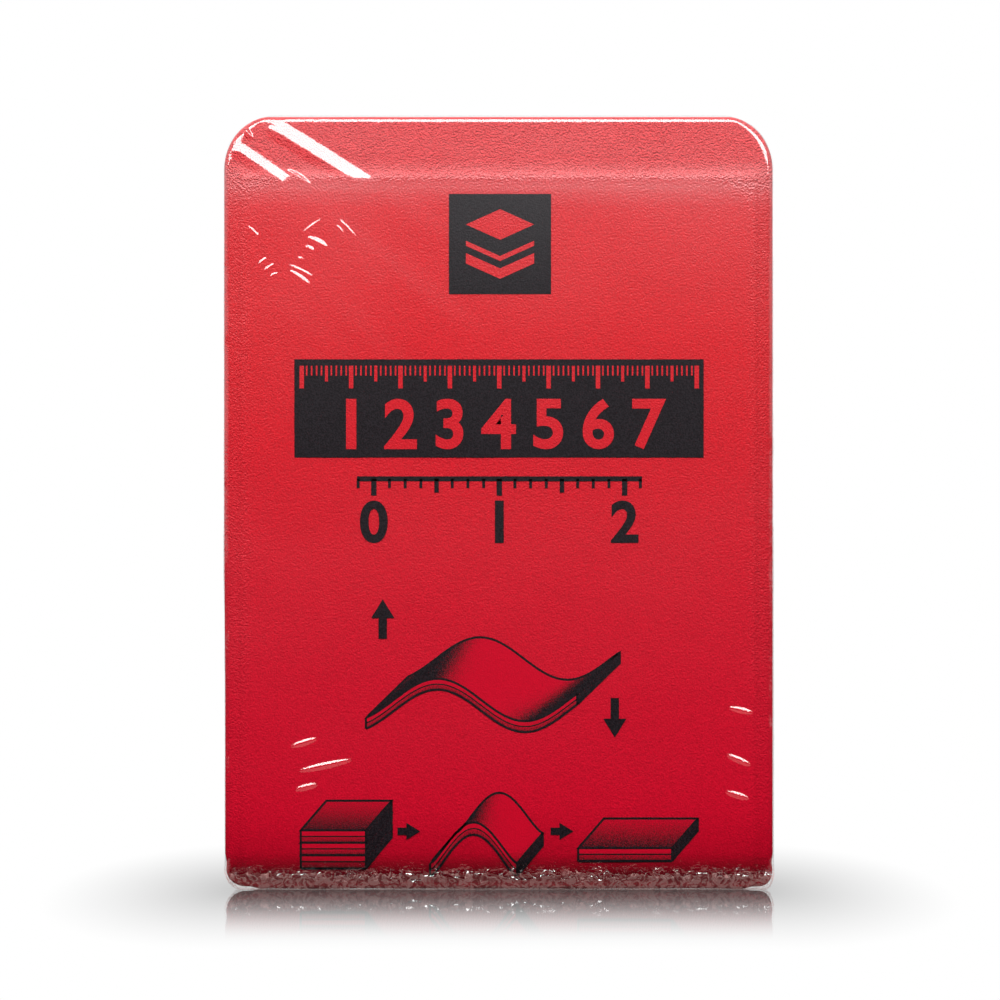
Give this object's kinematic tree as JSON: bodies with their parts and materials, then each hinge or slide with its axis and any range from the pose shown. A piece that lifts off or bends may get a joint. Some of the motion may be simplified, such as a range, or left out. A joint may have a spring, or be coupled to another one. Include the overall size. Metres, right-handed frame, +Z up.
{
  "type": "folded malleable splint in shrink film",
  "caption": "Foam and soft aluminium splint strip folded in three, front panel with rounded free corners, sealed in tight clear shrink film and standing on its fold.",
  "frame": {"origin": "under the middle of the base, at the height of the surface that the pack stands on", "axes": "+Z up along the folded strip, the printed front faces -Y, +X to the right seen from the front"},
  "size_m": [0.1112, 0.0179, 0.1569],
  "materials": {
    "red_foam": "closed-cell foam with a fine pebbled skin, black ink printed on the front",
    "soft_aluminium": "soft rolled sheet, satin",
    "clear_film": "clear glossy shrink film with small creases"
  },
  "bodies": {
    "root": {"outer_foam": "red_foam", "inner_foam": "red_foam", "aluminium_core": "soft_aluminium", "shrink_film": "clear_film"}
  },
  "joints": []
}
